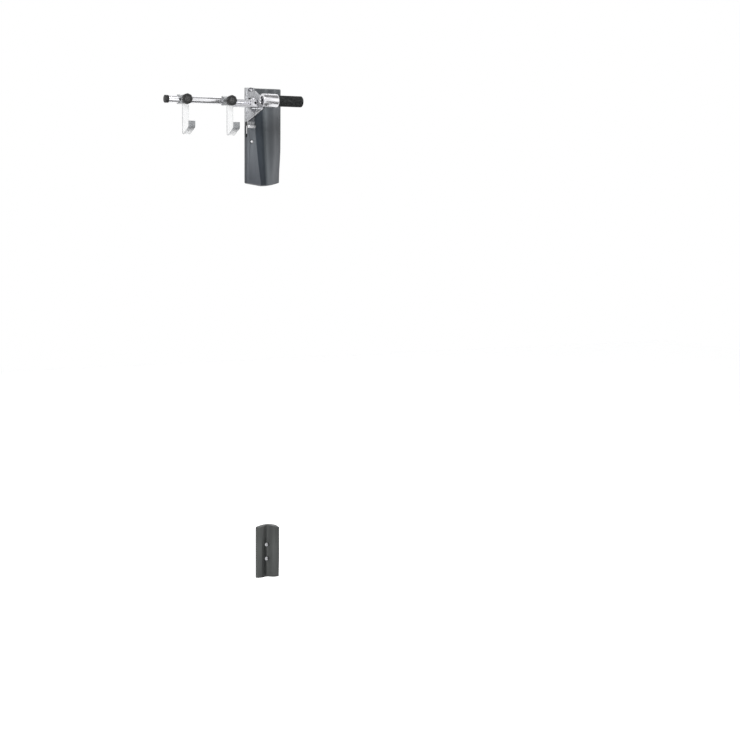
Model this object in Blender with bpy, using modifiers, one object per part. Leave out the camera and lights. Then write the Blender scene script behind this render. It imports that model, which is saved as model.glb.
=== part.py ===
"""Wall holder with a padded hook, a moulded front pad, a rear pad and a swinging accessory bar.

Metres, +Z up. The wall is the plane Y = 0 and the holder stands in front of it, at negative Y.
X runs along the wall. The origin is on the wall, straight behind the hook's rod and at its height.
"""
import math

import bmesh
import bpy
from mathutils import Matrix, Vector

# Colours with their roughness and metallic share
SILVER = ((0.44, 0.44, 0.46), 0.45, 0.7)
ALUMINIUM = ((0.62, 0.62, 0.64), 0.25, 1.0)
STEEL = ((0.52, 0.52, 0.53), 0.30, 1.0)
RUBBER = ((0.020, 0.017, 0.015), 0.75)
PLASTIC = ((0.075, 0.076, 0.086), 0.50)
DARK_PLASTIC = ((0.045, 0.047, 0.046), 0.55)
CLEAR = ((0.80, 0.80, 0.80), 0.15)
BLACK = ((0.018, 0.018, 0.018), 0.45)

GAP = 0.0003
MERGE = 0.00001
PAST = 0.004
ROUND_STEPS = 28
SMALL_STEPS = 16
REACH = 0.05
BEVEL_ANGLE = math.radians(50)

# Hook across the front: boss, rod and sleeve share one axis along X
HOOK_Y = -0.097
BOSS_LEFT = -0.048
BOSS_RIGHT = -0.008
BOSS_RADIUS = 0.0155
BOSS_SHOULDER = 0.0045
BOSS_EDGE = 0.0008
RECESS_RADIUS = 0.0100
RECESS_DEPTH = 0.0115
ROD_SEAT_DEPTH = 0.012
ROD_RADIUS = 0.0099
ROD_END = 0.0500
SLEEVE_END = 0.0545
SLEEVE_RADIUS = 0.01285
SLEEVE_END_BAND = 0.0075
SLEEVE_END_ROUND = 0.0028
SLEEVE_STEPS = 24
RIB_COUNT = 15
RIB_PITCH = 0.0033
RIB_HEIGHT = 0.0006

# Bolt that holds the rod in the boss
BOLT_RADIUS = 0.0050
BOLT_HEAD_RADIUS = 0.0079
BOLT_HEAD_HEIGHT = 0.0085
BOLT_WASHER = 0.0015
BOLT_WASHER_RADIUS = 0.0092
BOLT_SOCKET = 0.0046
BOLT_SOCKET_DEPTH = 0.0045
BOLT_TIP = 0.0120

# Silver bracket on the wall
BASE_LEFT = -0.0486
BASE_RIGHT = -0.0275
BASE_DEPTH = 0.0125
BASE_TOP = 0.0340
BASE_BOTTOM = -0.0555
BASE_WALL = 0.0032
BASE_ROUND = 0.0016
FLANGE_RIGHT = 0.0300
FLANGE_TOP = 0.0280
FLANGE_BOTTOM = -0.0500
FLANGE_THICK = 0.0030
WEB_LEFT = -0.0465
WEB_THICK = 0.0045
WEB_TOP = 0.0240
WEB_BOTTOM = -0.0450
WEB_SHELF_Y = -0.0520
WEB_NOSE_TOP = (-0.0890, 0.0045)
WEB_NOSE_LOW = (-0.1050, -0.0095)
WEB_NOSE_BOTTOM = (-0.1000, -0.0180)
WEB_SLOT_Y = (-0.0300, -0.0200)
WEB_SLOT_Z = 0.0075
WEB_SLOT_RADIUS = 0.0019
SIDE_NOTCH_RIGHT = -0.0452
SIDE_NOTCH_BACK = -0.0085
SIDE_NOTCH_TOP = -0.0455
SIDE_NOTCH_BOTTOM = -0.0630

# Swing joint of the accessory bar
PIVOT_X = -0.0620
PIVOT_Y = -0.0820
LUG_TOP = -0.0175
LUG_THICK = 0.0030
LUG_RADIUS = 0.0105
LUG_BACK_Y = -0.0660
PIVOT_RADIUS = 0.0030
PIVOT_HEAD_RADIUS = 0.0053
PIVOT_HEAD_HEIGHT = 0.0032
PIVOT_TIP = -0.0320
NUT_RADIUS = 0.00575
NUT_HEIGHT = 0.0052
SWING_WASHER = 0.0008
SWING_WASHER_RADIUS = 0.0085

# Accessory bar
BAR_Z = -0.0035
BAR_RADIUS = 0.0080
BAR_WALL = 0.0025
BAR_LEFT = -0.2799
BAR_RIGHT = -0.1110
CAP_LEFT = -0.2827
CAP_RIGHT = -0.2743
CAP_RADIUS = 0.0089
YOKE_LEFT = -0.1105
YOKE_TOP = 0.0020
YOKE_BOTTOM = -0.0161
YOKE_HALF = 0.0108
YOKE_EDGE = 0.0008
STRIP_TOP = -0.0114
KNUCKLE_LEFT = -0.0735
SPIGOT_LEFT = -0.1310
NECK_RIB = 0.0050
CAP_ROUND = 0.0010
GRUB_Z = -0.0062
GRUB_RADIUS = 0.0025
GRUB_INNER_Y = -0.0856
GRUB_OUTER_Y = -0.0922
GRUB_SOCKET = 0.0014

# Clamps, hooks and knobs on the bar
CLAMP_X = {"left": -0.2403, "right": -0.1310}
LINER_LENGTH = 0.0200
LINER_INNER = 0.0083
LINER_OUTER = 0.0090
LINER_SPLIT = 0.0020
COLLAR_LENGTH = 0.0205
COLLAR_INNER = 0.0093
COLLAR_OUTER = 0.0110
STRAP_WIDTH = 0.0153
STRAP_THICK = 0.0028
STRAP_Y = -0.1023
BLOCK_BACK = -0.0920
BLOCK_FRONT = -0.1037
BLOCK_TOP = 0.0060
BLOCK_BOTTOM = -0.0140
BLOCK_EDGE = 0.0010
HOOK_FLOOR_Z = -0.0830
HOOK_FLOOR_Y = -0.1110
HOOK_LIP_Y = -0.1412
HOOK_LIP_BOTTOM = -0.0665
HOOK_LIP_TOP = -0.0534
HOOK_BEND = 0.0040
BEND_STEPS = 4
STUD_RADIUS = 0.0030
STUD_TIP_Y = -0.0914
STUD_END_Y = -0.1140
INSERT_RADIUS = 0.0048
INSERT_BACK = -0.0960
INSERT_FRONT = -0.1032
KNOB_BACK = -0.1045
KNOB_HEAD = -0.1075
KNOB_FACE = -0.1165
KNOB_RADIUS = 0.0120
KNOB_HUB_RADIUS = 0.0068
KNOB_LOBES = 8
KNOB_LOBE_DEPTH = 0.0007
KNOB_LOBE_POINTS = 6
KNOB_EDGE = 0.0022
KNOB_DISH_RADIUS = 0.0070
KNOB_DISH_DEPTH = 0.0008

# Screws. Shares are of a head's radius or height
HEAD_TOP = 0.64
HEAD_SHOULDER = (0.92, 0.25)
HEAD_RIM = 0.60
HEAD_SOCKET = 0.43
SCREW_SHANK = 0.0024
PAN_HEAD_RADIUS = 0.0052
PAN_HEAD_HEIGHT = 0.0030
FLAT_HEAD_RADIUS = 0.0046
FLAT_HEAD_HEIGHT = 0.0018
PAD_HEAD_RADIUS = 0.0032
PAD_HEAD_HEIGHT = 0.0020
BASE_SCREW_X = -0.0375
BASE_SCREW_Z = 0.0277
FLANGE_SCREW_X = 0.0060
FLANGE_SCREW_Z = {"top": 0.0200, "low": -0.0420}
PAD_SCREW_X = -0.0350
PAD_SCREW_Z = -0.0926

# Both pads: shells of one thickness, hollow and ribbed behind
PAD_WALL = 0.0028
PAD_BOSS_RADIUS = 0.0075
RIB_THICK = 0.0018
RIB_BACK = 0.0006
TROUGH_STEPS = 10
PAD_ROWS = 9
TAPER_START = 0.60
CHAMFER = 0.0062
REAR_SEAT = 0.0038


class PadForm:
    """Outline and depths of one moulded pad. Each pair holds the value at the top and at the bottom."""

    def __init__(self, left, right, top, bottom, top_bow, bottom_bow, trough_left, trough_right,
                 left_depth, floor_depth, right_depth):
        self.left = left
        self.right = right
        self.top = top
        self.bottom = bottom
        self.top_bow = top_bow
        self.bottom_bow = bottom_bow
        self.trough_left = trough_left
        self.trough_right = trough_right
        self.left_depth = left_depth
        self.floor_depth = floor_depth
        self.right_depth = right_depth


FRONT_FORM = PadForm(left=-0.0486, right=0.0375, top=0.0340, bottom=-0.1905, top_bow=0.0,
                     bottom_bow=0.0070, trough_left=(-0.0205, -0.0080), trough_right=(0.0225, 0.0240),
                     left_depth=0.0125, floor_depth=0.0065, right_depth=(0.0250, 0.0160))
REAR_FORM = PadForm(left=-0.0198, right=0.0370, top=-1.0275, bottom=-1.1550, top_bow=0.0050,
                    bottom_bow=0.0, trough_left=(-0.0070, -0.0070), trough_right=(0.0225, 0.0225),
                    left_depth=0.0125, floor_depth=0.0060, right_depth=(0.0220, 0.0200))
EDGE_SHARE = (0.0, 0.76, 0.93, 1.0)
EDGE_OFFSET = (0.0, 0.0016, 0.0023, 0.0040)
FRONT_RIB_Z = (-0.0750, -0.1080, -0.1400, -0.1680)
REAR_RIB_Z = (-1.0560, -1.0910, -1.1250)
REAR_SCREW_X = 0.0078
REAR_SCREW_Z = {"top": -1.0730, "low": -1.1080}
PANEL_LEFT = -0.0420
PANEL_RIGHT = -0.0250
PANEL_TOP = -0.0640
PANEL_BOTTOM = -0.1790
PANEL_DEPTH = 0.0008


def clear_scene():
    for old in list(bpy.data.objects):
        bpy.data.objects.remove(old, do_unlink=True)


def new_collection(name):
    collection = bpy.data.collections.new(name)
    bpy.context.scene.collection.children.link(collection)
    return collection


def new_material(name, colour, roughness, metallic=0.0):
    made = bpy.data.materials.new(name)
    made.use_nodes = True
    shader = made.node_tree.nodes["Principled BSDF"]
    shader.inputs["Base Color"].default_value = (*colour, 1.0)
    shader.inputs["Roughness"].default_value = roughness
    shader.inputs["Metallic"].default_value = metallic
    made.diffuse_color = (*colour, 1.0)
    return made


clear_scene()
PARTS = new_collection("bike_holder")
CUTTERS = new_collection("bike_holder_cutters")


def place(made, colour=None):
    """Put a finished piece with the parts, or a shape without a colour with the cutters."""
    if colour is None:
        CUTTERS.objects.link(made)
        made.hide_render = True
        made.display_type = "WIRE"
        return made
    PARTS.objects.link(made)
    made.data.materials.append(new_material(made.name + "_material", *colour))
    return made


def from_bmesh(name, shape, colour=None):
    mesh = bpy.data.meshes.new(name)
    shape.to_mesh(mesh)
    shape.free()
    return place(bpy.data.objects.new(name, mesh), colour)


def box(name, low, high, colour=None):
    """Box between two corners, with its origin in its middle."""
    size = Vector(high) - Vector(low)
    shape = bmesh.new()
    bmesh.ops.create_cube(shape, size=1.0, matrix=Matrix.Diagonal((*size, 1.0)))
    made = from_bmesh(name, shape, colour)
    made.location = (Vector(low) + Vector(high)) / 2
    return made


AXIS_TURN = {"X": (0.0, math.pi / 2, 0.0), "front": (math.pi / 2, 0.0, 0.0), "Z": (0.0, 0.0, 0.0)}


def turned(name, profile, centre, axis, colour=None, steps=ROUND_STEPS):
    """Revolve (radius, height) points. They run from the top down the outer side, heights along the axis."""
    mesh = bpy.data.meshes.new(name)
    points = [(radius, 0.0, height) for radius, height in profile]
    on_axis = profile[0][0] == 0.0 and profile[-1][0] == 0.0
    edges = [(i, i + 1) for i in range(len(points) - 1)]
    if not on_axis:
        edges.append((len(points) - 1, 0))
    mesh.from_pydata(points, edges, [])
    made = place(bpy.data.objects.new(name, mesh), colour)
    made.location = centre
    made.rotation_euler = AXIS_TURN[axis]
    screw = made.modifiers.new("Turn", "SCREW")
    screw.steps = steps
    screw.render_steps = steps
    screw.use_merge_vertices = True
    screw.merge_threshold = MERGE
    screw.use_smooth_shade = True
    return made


def rod(name, radius, low, high, centre, axis, colour=None, steps=ROUND_STEPS):
    profile = [(0.0, high), (radius, high), (radius, low), (0.0, low)]
    return turned(name, profile, centre, axis, colour, steps)


def tube(name, inner, outer, low, high, centre, axis, colour=None, steps=ROUND_STEPS):
    profile = [(inner, high), (outer, high), (outer, low), (inner, low)]
    return turned(name, profile, centre, axis, colour, steps)


def plate(name, outline, low, high, plane, colour=None):
    """Flat outline with a thickness. Plane YZ: points are (y, z) and the thickness runs along X."""
    curve = bpy.data.curves.new(name, "CURVE")
    curve.dimensions = "2D"
    curve.fill_mode = "BOTH"
    curve.extrude = (high - low) / 2
    spline = curve.splines.new("POLY")
    spline.points.add(len(outline) - 1)
    for point, (across, up) in zip(spline.points, outline):
        point.co = (across, up, 0.0, 1.0)
    spline.use_cyclic_u = True
    drawn = bpy.data.objects.new(name + "_outline", curve)
    CUTTERS.objects.link(drawn)
    middle = (low + high) / 2
    turns = {
        "YZ": Matrix(((0, 0, 1, middle), (1, 0, 0, 0), (0, 1, 0, 0), (0, 0, 0, 1))),
        "XZ": Matrix(((1, 0, 0, 0), (0, 0, -1, middle), (0, 1, 0, 0), (0, 0, 0, 1))),
        "XY": Matrix.Translation((0.0, 0.0, middle)),
    }
    drawn.matrix_world = turns[plane]
    bpy.context.view_layer.update()
    mesh = bpy.data.meshes.new_from_object(drawn.evaluated_get(bpy.context.evaluated_depsgraph_get()))
    made = bpy.data.objects.new(name, mesh)
    made.matrix_world = drawn.matrix_world
    bpy.data.objects.remove(drawn)
    shape = bmesh.new()
    shape.from_mesh(mesh)
    bmesh.ops.remove_doubles(shape, verts=shape.verts, dist=MERGE)
    shape.to_mesh(mesh)
    shape.free()
    mesh.materials.clear()
    return place(made, colour)


def boolean(made, other, operation):
    step = made.modifiers.new(other.name, "BOOLEAN")
    step.operation = operation
    step.solver = "EXACT"
    step.object = other
    return made


def cut(made, *others):
    for other in others:
        boolean(made, other, "DIFFERENCE")
    return made


def join(made, *others):
    for other in others:
        boolean(made, other, "UNION")
    return made


def bevel(made, width, segments=2):
    step = made.modifiers.new("Bevel", "BEVEL")
    step.width = width
    step.segments = segments
    step.limit_method = "ANGLE"
    step.angle_limit = BEVEL_ANGLE
    return made


def hang(pieces, pivot_name, point, carrier=None):
    """Parent the pieces to an empty on their joint's axis, without moving them."""
    pivot = bpy.data.objects.new(pivot_name, None)
    PARTS.objects.link(pivot)
    pivot.empty_display_size = 0.01
    pivot.location = point
    if carrier:
        pivot.parent = carrier
        pivot.matrix_parent_inverse = Matrix.Translation(Vector(carrier["point"])).inverted()
    pivot["point"] = point
    for piece in pieces:
        piece.parent = pivot
        piece.matrix_parent_inverse = Matrix.Translation(point).inverted()
    return pivot


def arc(centre_a, centre_b, radius, start, end, steps):
    """Points on an arc between two angles in degrees, in the outline's own two directions."""
    points = []
    for i in range(steps + 1):
        angle = math.radians(start + (end - start) * i / steps)
        points.append((centre_a + radius * math.cos(angle), centre_b + radius * math.sin(angle)))
    return points


def lerp(start, end, share):
    return start + (end - start) * share


def ease(share):
    share = min(max(share, 0.0), 1.0)
    return share * share * (3 - 2 * share)


def ring_hole(name, radius, low, high, centre, axis, steps=SMALL_STEPS):
    """Round cutter, wider than the piece that goes through it by the gap."""
    return rod(name, radius + GAP, low, high, centre, axis, steps=steps)


def stepped_hole(name, narrow, wide, low, step, high, centre):
    """Cutter from the front: wide down to the step, then narrow. Heights are depths from the wall."""
    profile = [(0.0, high), (wide + GAP, high), (wide + GAP, step), (narrow + GAP, step)]
    profile += [(narrow + GAP, low), (0.0, low)]
    return turned(name, profile, centre, "front", steps=SMALL_STEPS)


def hex_socket(name, radius, low, high, centre, axis):
    return rod(name, radius, low, high, centre, axis, steps=6)


def button_head(top, radius, height):
    """Profile of a low domed screw head, from its middle to its rim's lower edge."""
    shoulder, drop = HEAD_SHOULDER
    return [(0.0, top), (radius * HEAD_TOP, top), (radius * shoulder, top - height * drop),
            (radius, top - height * HEAD_RIM), (radius, top - height)]


# Hook across the front


def make_hook():
    centre = (0.0, HOOK_Y, 0.0)
    floor = BOSS_LEFT + RECESS_DEPTH
    seat = BOSS_RIGHT - ROD_SEAT_DEPTH
    shoulder = arc(BOSS_RADIUS - BOSS_SHOULDER, BOSS_RIGHT - BOSS_SHOULDER, BOSS_SHOULDER, 90, 0, 5)
    profile = [(ROD_RADIUS + GAP, BOSS_RIGHT)] + shoulder
    profile += [(BOSS_RADIUS, BOSS_LEFT + BOSS_EDGE), (BOSS_RADIUS - BOSS_EDGE, BOSS_LEFT)]
    profile += [(RECESS_RADIUS, BOSS_LEFT), (RECESS_RADIUS, floor)]
    profile += [(BOLT_RADIUS + GAP, floor), (BOLT_RADIUS + GAP, seat), (ROD_RADIUS + GAP, seat)]
    turned("hook_boss", profile, centre, "X", ALUMINIUM)

    washer_right = floor - GAP
    washer_left = washer_right - BOLT_WASHER
    tube("hook_bolt_washer", BOLT_RADIUS + GAP, BOLT_WASHER_RADIUS, washer_left, washer_right,
         centre, "X", STEEL, SMALL_STEPS)
    head_right = washer_left - GAP
    head_left = head_right - BOLT_HEAD_HEIGHT
    profile = [(0.0, BOLT_TIP), (BOLT_RADIUS, BOLT_TIP), (BOLT_RADIUS, head_right)]
    profile += [(BOLT_HEAD_RADIUS, head_right), (BOLT_HEAD_RADIUS, head_left + BOSS_EDGE)]
    profile += [(BOLT_HEAD_RADIUS - BOSS_EDGE, head_left), (0.0, head_left)]
    bolt = turned("hook_bolt", profile, centre, "X", STEEL, SMALL_STEPS)
    cut(bolt, hex_socket("hook_bolt_socket", BOLT_SOCKET, head_left - PAST,
                         head_left + BOLT_SOCKET_DEPTH, centre, "X"))

    rod_left = seat + GAP
    bore_end = BOLT_TIP + 3 * GAP
    profile = [(0.0, ROD_END), (ROD_RADIUS, ROD_END), (ROD_RADIUS, rod_left)]
    profile += [(BOLT_RADIUS + GAP, rod_left), (BOLT_RADIUS + GAP, bore_end), (0.0, bore_end)]
    turned("hook_rod", profile, centre, "X", STEEL, SMALL_STEPS)
    make_sleeve(centre)


def make_sleeve(centre):
    """Rubber cup over the rod, with a row of grip ribs and a plain rounded end."""
    low_radius = SLEEVE_RADIUS - RIB_HEIGHT
    round_radius = SLEEVE_END_ROUND
    profile = [(0.0, SLEEVE_END)]
    profile += arc(SLEEVE_RADIUS - round_radius, SLEEVE_END - round_radius, round_radius, 90, 0, 4)
    for i in range(RIB_COUNT):
        right = SLEEVE_END - SLEEVE_END_BAND - i * RIB_PITCH
        profile += [(SLEEVE_RADIUS, right), (low_radius, right - RIB_PITCH / 2)]
    left = BOSS_RIGHT + GAP
    profile += [(SLEEVE_RADIUS, left), (ROD_RADIUS + GAP, left)]
    profile += [(ROD_RADIUS + GAP, ROD_END + GAP), (0.0, ROD_END + GAP)]
    turned("hook_sleeve", profile, centre, "X", RUBBER, SLEEVE_STEPS)


# Silver bracket on the wall


def make_bracket():
    front = -BASE_DEPTH
    outline = [(BASE_LEFT, 0.0)]
    outline += arc(BASE_LEFT + BASE_ROUND, front + BASE_ROUND, BASE_ROUND, 180, 270, 4)
    outline += arc(BASE_RIGHT - BASE_ROUND, front + BASE_ROUND, BASE_ROUND, 270, 360, 4)
    outline += [(BASE_RIGHT, 0.0)]
    bracket = plate("wall_bracket", outline, BASE_BOTTOM, BASE_TOP, "XY", SILVER)

    pocket = box("base_pocket", (BASE_LEFT + BASE_WALL, front + BASE_WALL, BASE_BOTTOM + BASE_WALL),
                 (BASE_RIGHT - BASE_WALL, PAST, BASE_TOP - BASE_WALL))
    boss = rod("base_screw_boss", PAD_BOSS_RADIUS, 0.0, BASE_DEPTH - GAP,
               (BASE_SCREW_X, 0.0, BASE_SCREW_Z), "front", steps=SMALL_STEPS)
    cut(pocket, boss)
    flange = box("base_flange", (BASE_RIGHT - BASE_WALL / 2, -FLANGE_THICK, FLANGE_BOTTOM),
                 (FLANGE_RIGHT, 0.0, FLANGE_TOP))
    inside = front + BASE_WALL / 2
    web_outline = [(inside, WEB_TOP), (WEB_SHELF_Y, WEB_TOP), WEB_NOSE_TOP, WEB_NOSE_LOW,
                   WEB_NOSE_BOTTOM, (front, WEB_BOTTOM), (inside, WEB_BOTTOM)]
    web = plate("base_web", web_outline, WEB_LEFT, WEB_LEFT + WEB_THICK, "YZ")
    lug_outline = arc(PIVOT_X, PIVOT_Y, LUG_RADIUS, 90, 270, 12)
    lug_outline += [(WEB_LEFT + WEB_THICK / 2, PIVOT_Y - LUG_RADIUS), (WEB_LEFT + WEB_THICK / 2, LUG_BACK_Y)]
    lug = plate("pivot_lug", lug_outline, LUG_TOP - LUG_THICK, LUG_TOP, "XY")
    cut(bracket, pocket)
    join(bracket, flange, web, lug)

    seat = rod("boss_saddle", BOSS_RADIUS + GAP, BOSS_LEFT - PAST, BOSS_RIGHT + PAST,
               (0.0, HOOK_Y, 0.0), "X", steps=ROUND_STEPS)
    pivot_hole = ring_hole("lug_hole", PIVOT_RADIUS, LUG_TOP - LUG_THICK - PAST, LUG_TOP + PAST,
                           (PIVOT_X, PIVOT_Y, 0.0), "Z")
    screw_hole = ring_hole("base_screw_hole", SCREW_SHANK, -PAST, BASE_DEPTH + PAST,
                           (BASE_SCREW_X, 0.0, BASE_SCREW_Z), "front")
    slot_low, slot_high = WEB_SLOT_Y
    slot_outline = arc(slot_low, WEB_SLOT_Z, WEB_SLOT_RADIUS, 90, 270, 6)
    slot_outline += arc(slot_high, WEB_SLOT_Z, WEB_SLOT_RADIUS, -90, 90, 6)
    slot = plate("web_slot", slot_outline, WEB_LEFT - PAST, WEB_LEFT + WEB_THICK + PAST, "YZ")
    cut(bracket, seat, pivot_hole, screw_hole, slot, side_notch("base_side_notch"))
    for level, height in FLANGE_SCREW_Z.items():
        cut(bracket, flat_screw("flange_hole_" + level, FLANGE_SCREW_X, height, GAP))
    pan_screw("bracket_screw", BASE_SCREW_X, BASE_SCREW_Z, BASE_DEPTH, PAN_HEAD_RADIUS, PAN_HEAD_HEIGHT)
    for level, height in FLANGE_SCREW_Z.items():
        flat_screw("flange_screw_" + level, FLANGE_SCREW_X, height, 0.0, STEEL)


def side_notch(name):
    """Cutter for the open corner at the left, half in the base and half in the pad below it."""
    return box(name, (BASE_LEFT - PAST, -BASE_DEPTH - PAST, SIDE_NOTCH_BOTTOM),
               (SIDE_NOTCH_RIGHT, SIDE_NOTCH_BACK, SIDE_NOTCH_TOP))


def pan_screw(name, x, z, seat, head_radius, head_height):
    """Round-headed screw, head on the seat and shank to the wall. Heights are depths from the wall."""
    centre = (x, 0.0, z)
    top = seat + GAP + head_height
    profile = button_head(top, head_radius, head_height)
    profile += [(SCREW_SHANK, seat + GAP), (SCREW_SHANK, GAP), (0.0, GAP)]
    screw = turned(name, profile, centre, "front", STEEL, SMALL_STEPS)
    socket = hex_socket(name + "_socket", head_radius * HEAD_SOCKET, top - head_height * HEAD_RIM,
                        top + PAST, centre, "front")
    return cut(screw, socket)


def flat_screw(name, x, z, gap, colour=None):
    """Countersunk screw set flush in the flange, or the hole for it when no colour is given."""
    top = FLANGE_THICK - GAP if colour else FLANGE_THICK + PAST
    low = GAP if colour else -PAST
    rim = FLANGE_THICK - 2 * GAP
    neck = rim - FLAT_HEAD_HEIGHT
    head = FLAT_HEAD_RADIUS + gap
    shank = SCREW_SHANK + gap
    profile = [(0.0, top), (head, top), (head, rim), (shank, neck), (shank, low), (0.0, low)]
    return turned(name, profile, (x, 0.0, z), "front", colour, SMALL_STEPS)


# Moulded pads


def trough_edge(pair, share):
    return lerp(pair[0], pair[1], ease(share))


def pad_depth(form, x, share):
    """Depth of the pad's front from the wall, at a place along X and a share of its height."""
    low_x = trough_edge(form.trough_left, share)
    high_x = trough_edge(form.trough_right, share)
    right_depth = lerp(*form.right_depth, ease((share - TAPER_START) / (1 - TAPER_START)))
    across = (x - low_x) / (high_x - low_x)
    side = form.left_depth if across < 0.5 else right_depth
    rise = (1 - math.cos(math.pi * min(abs(2 * across - 1), 1.0))) / 2
    return lerp(form.floor_depth, side, rise)


def pad_columns(form, share, inset):
    """Places along X, each with the share of the depth that the rounded edge leaves there."""
    edges = list(zip(EDGE_OFFSET, EDGE_SHARE))
    columns = [(form.left + inset + offset, depth_share) for offset, depth_share in edges]
    low_x = trough_edge(form.trough_left, share)
    high_x = trough_edge(form.trough_right, share)
    for i in range(TROUGH_STEPS + 1):
        columns.append((lerp(low_x, high_x, i / TROUGH_STEPS), 1.0))
    columns += [(form.right - inset - offset, depth_share) for offset, depth_share in reversed(edges)]
    return columns


def pad_rows():
    """Share of the height, distance from the nearest edge and share of the depth, from top to bottom."""
    edges = list(zip(EDGE_OFFSET, EDGE_SHARE))
    rows = [(0.0, offset, depth_share) for offset, depth_share in edges]
    rows += [(i / PAD_ROWS, 0.0, 1.0) for i in range(1, PAD_ROWS)]
    rows += [(1.0, offset, depth_share) for offset, depth_share in reversed(edges)]
    return rows


def pad_height(form, x, share, offset, inset):
    middle = (form.left + form.right) / 2
    across = (x - middle) / (form.right - middle)
    bow = 1 - across * across
    high = form.top + form.top_bow * bow - inset
    low = form.bottom - form.bottom_bow * bow + inset
    if share == 0.0:
        return high - offset
    if share == 1.0:
        return low + offset
    rounded = EDGE_OFFSET[-1]
    return lerp(high - rounded, low + rounded, share)


def pad_solid(name, form, inset, back, colour=None):
    """Loft of the pad's cross sections, closed by a flat back. The hollow is the same form, set in."""
    shape = bmesh.new()
    grid = []
    for share, offset, row_share in pad_rows():
        row = []
        for x, column_share in pad_columns(form, share, inset):
            depth = pad_depth(form, x, share) - inset + back
            y = back - depth * row_share * column_share
            row.append(shape.verts.new((x, y, pad_height(form, x, share, offset, inset))))
        grid.append(row)
    for row in (grid[0], grid[-1]):
        for end in (0, -1):
            shape.verts.remove(row[end])
            row[end] = None
    for upper, lower in zip(grid, grid[1:]):
        for i in range(len(upper) - 1):
            cell = (upper[i], lower[i], lower[i + 1], upper[i + 1])
            shape.faces.new([corner for corner in cell if corner])
    rim = grid[0] + [row[-1] for row in grid[1:]] + grid[-1][-2::-1] + [row[0] for row in grid[-2:0:-1]]
    shape.faces.new([point for point in rim if point])
    bmesh.ops.recalc_face_normals(shape, faces=shape.faces)
    return from_bmesh(name, shape, colour)


def pad_ribs(name, form, heights):
    ribs = []
    for number, height in enumerate(heights, 1):
        low = (form.left - PAST, -max(form.right_depth) - PAST, height - RIB_THICK / 2)
        high = (form.right + PAST, -RIB_BACK, height + RIB_THICK / 2)
        ribs.append(box(f"{name}_rib_{number}", low, high))
    return ribs


def pad_screw_boss(name, form, x, z):
    return rod(name, PAD_BOSS_RADIUS, RIB_BACK, max(form.right_depth), (x, 0.0, z), "front",
               steps=SMALL_STEPS)


def make_front_pad():
    form = FRONT_FORM
    pad = pad_solid("front_pad", form, 0.0, 0.0, PLASTIC)
    hollow = pad_solid("front_pad_hollow", form, PAD_WALL, PAST)
    notch_right = BASE_RIGHT + GAP
    notch_bottom = BASE_BOTTOM - GAP
    ledge = box("front_pad_ledge", (form.left - PAST, -REACH, notch_bottom - PAD_WALL),
                (notch_right + PAD_WALL, REACH, form.top + PAST))
    boss = pad_screw_boss("front_pad_screw_boss", form, PAD_SCREW_X, PAD_SCREW_Z)
    cut(hollow, ledge, boss, *pad_ribs("front_pad", form, FRONT_RIB_Z))
    notch = box("front_pad_notch", (form.left - PAST, -REACH, notch_bottom),
                (notch_right, REACH, form.top + REACH))
    flange_slot = box("front_pad_flange_slot", (BASE_RIGHT - PAST, -FLANGE_THICK - GAP, FLANGE_BOTTOM - GAP),
                      (FLANGE_RIGHT + GAP, PAST, FLANGE_TOP + GAP))
    chamfer = box("front_pad_chamfer", (BASE_LEFT + BASE_WALL, -CHAMFER / 2, -CHAMFER / 2),
                  (notch_right, CHAMFER / 2, CHAMFER / 2))
    chamfer.location = (chamfer.location.x, -form.left_depth, notch_bottom)
    chamfer.rotation_euler = (math.pi / 4, 0.0, 0.0)
    hole = ring_hole("front_pad_screw_hole", SCREW_SHANK, -PAST, form.left_depth + PAST,
                     (PAD_SCREW_X, 0.0, PAD_SCREW_Z), "front")
    cut(pad, hollow, notch, chamfer, make_panel(form), flange_slot, hole, side_notch("pad_side_notch"))
    pan_screw("front_pad_screw", PAD_SCREW_X, PAD_SCREW_Z, form.left_depth - PANEL_DEPTH,
              PAD_HEAD_RADIUS, PAD_HEAD_HEIGHT)


def make_panel(form):
    """Shallow inset panel with a rounded top, down the flat left side."""
    middle = (PANEL_LEFT + PANEL_RIGHT) / 2
    radius = (PANEL_RIGHT - PANEL_LEFT) / 2
    outline = arc(middle, PANEL_TOP - radius, radius, 0, 180, 10)
    outline += [(PANEL_LEFT, PANEL_BOTTOM), (PANEL_RIGHT, PANEL_BOTTOM)]
    return plate("front_pad_panel", outline, -form.left_depth - PAST, PANEL_DEPTH - form.left_depth, "XZ")


def make_rear_pad():
    form = REAR_FORM
    pad = pad_solid("rear_pad", form, 0.0, 0.0, DARK_PLASTIC)
    hollow = pad_solid("rear_pad_hollow", form, PAD_WALL, PAST)
    cut(hollow, *pad_ribs("rear_pad", form, REAR_RIB_Z))
    cut(pad, hollow)
    for level, height in REAR_SCREW_Z.items():
        centre = (REAR_SCREW_X, 0.0, height)
        cut(hollow, pad_screw_boss("rear_pad_boss_" + level, form, REAR_SCREW_X, height))
        cut(pad, stepped_hole("rear_pad_hole_" + level, SCREW_SHANK, PAN_HEAD_RADIUS + GAP, -PAST,
                              REAR_SEAT, max(form.right_depth), centre))
        pan_screw("rear_pad_screw_" + level, REAR_SCREW_X, height, REAR_SEAT,
                  PAN_HEAD_RADIUS, PAD_HEAD_HEIGHT)


# Swing joint of the accessory bar


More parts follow.
